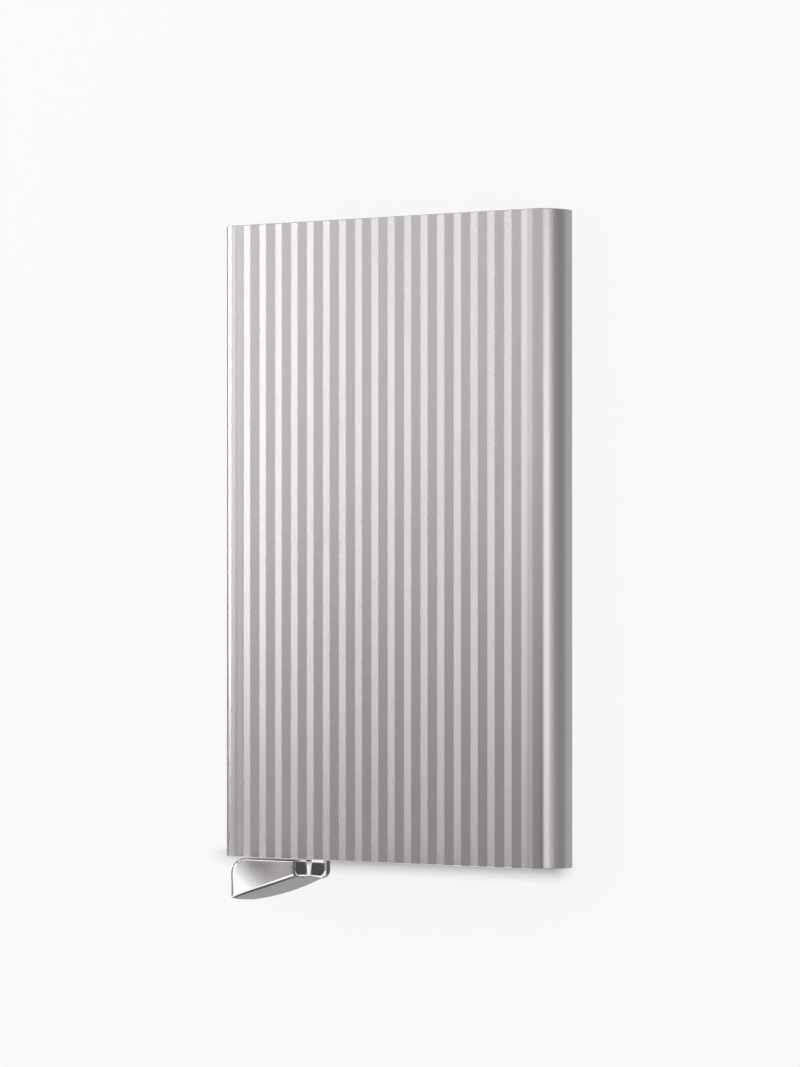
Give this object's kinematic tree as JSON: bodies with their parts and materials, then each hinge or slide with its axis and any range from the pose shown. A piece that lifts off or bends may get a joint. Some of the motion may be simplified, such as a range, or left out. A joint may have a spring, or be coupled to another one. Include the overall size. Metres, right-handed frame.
{
  "type": "pop up card holder",
  "caption": "Slim ribbed aluminium card case, open at one end, with a corner lever that turns a stepped pusher inside and fans the cards out of the mouth.",
  "frame": {"origin": "under the middle of the holder's box, on the plane of the back face's rib crests, which it lies on", "axes": "+X across the holder to the viewer's right when the lever is at the lower left, +Y along the case to the open mouth, +Z out of the front face"},
  "size_m": [0.063, 0.1018, 0.0082],
  "materials": {
    "satin_aluminium": "satin anodised, lightly lilac silver",
    "polished_lever": "polished, bright",
    "steel": "plain turned steel",
    "black_moulding": "fine matt black moulded plastic",
    "grey_moulding": "low friction dark grey moulded plastic",
    "pile": "short dense black pile"
  },
  "bodies": {
    "case": {"case_shell": "satin_aluminium", "carrier_back": "black_moulding", "carrier_front": "black_moulding", "carrier_screw_left": "steel", "carrier_screw_right": "steel", "pivot_pin": "steel", "side_liner_left": "black_moulding", "side_liner_right": "black_moulding", "grip_strip_left": "pile", "grip_strip_right": "pile"},
    "lever": {"finger_lever": "polished_lever", "step_pusher": "grey_moulding"}
  },
  "joints": [
    {"name": "lever_pull", "type": "hinge", "parent": "case", "child": "lever", "pos_m": [-0.0152, -0.04055, 0.0031], "axis": [0, 0, 1], "range_deg": [0, 50]}
  ]
}
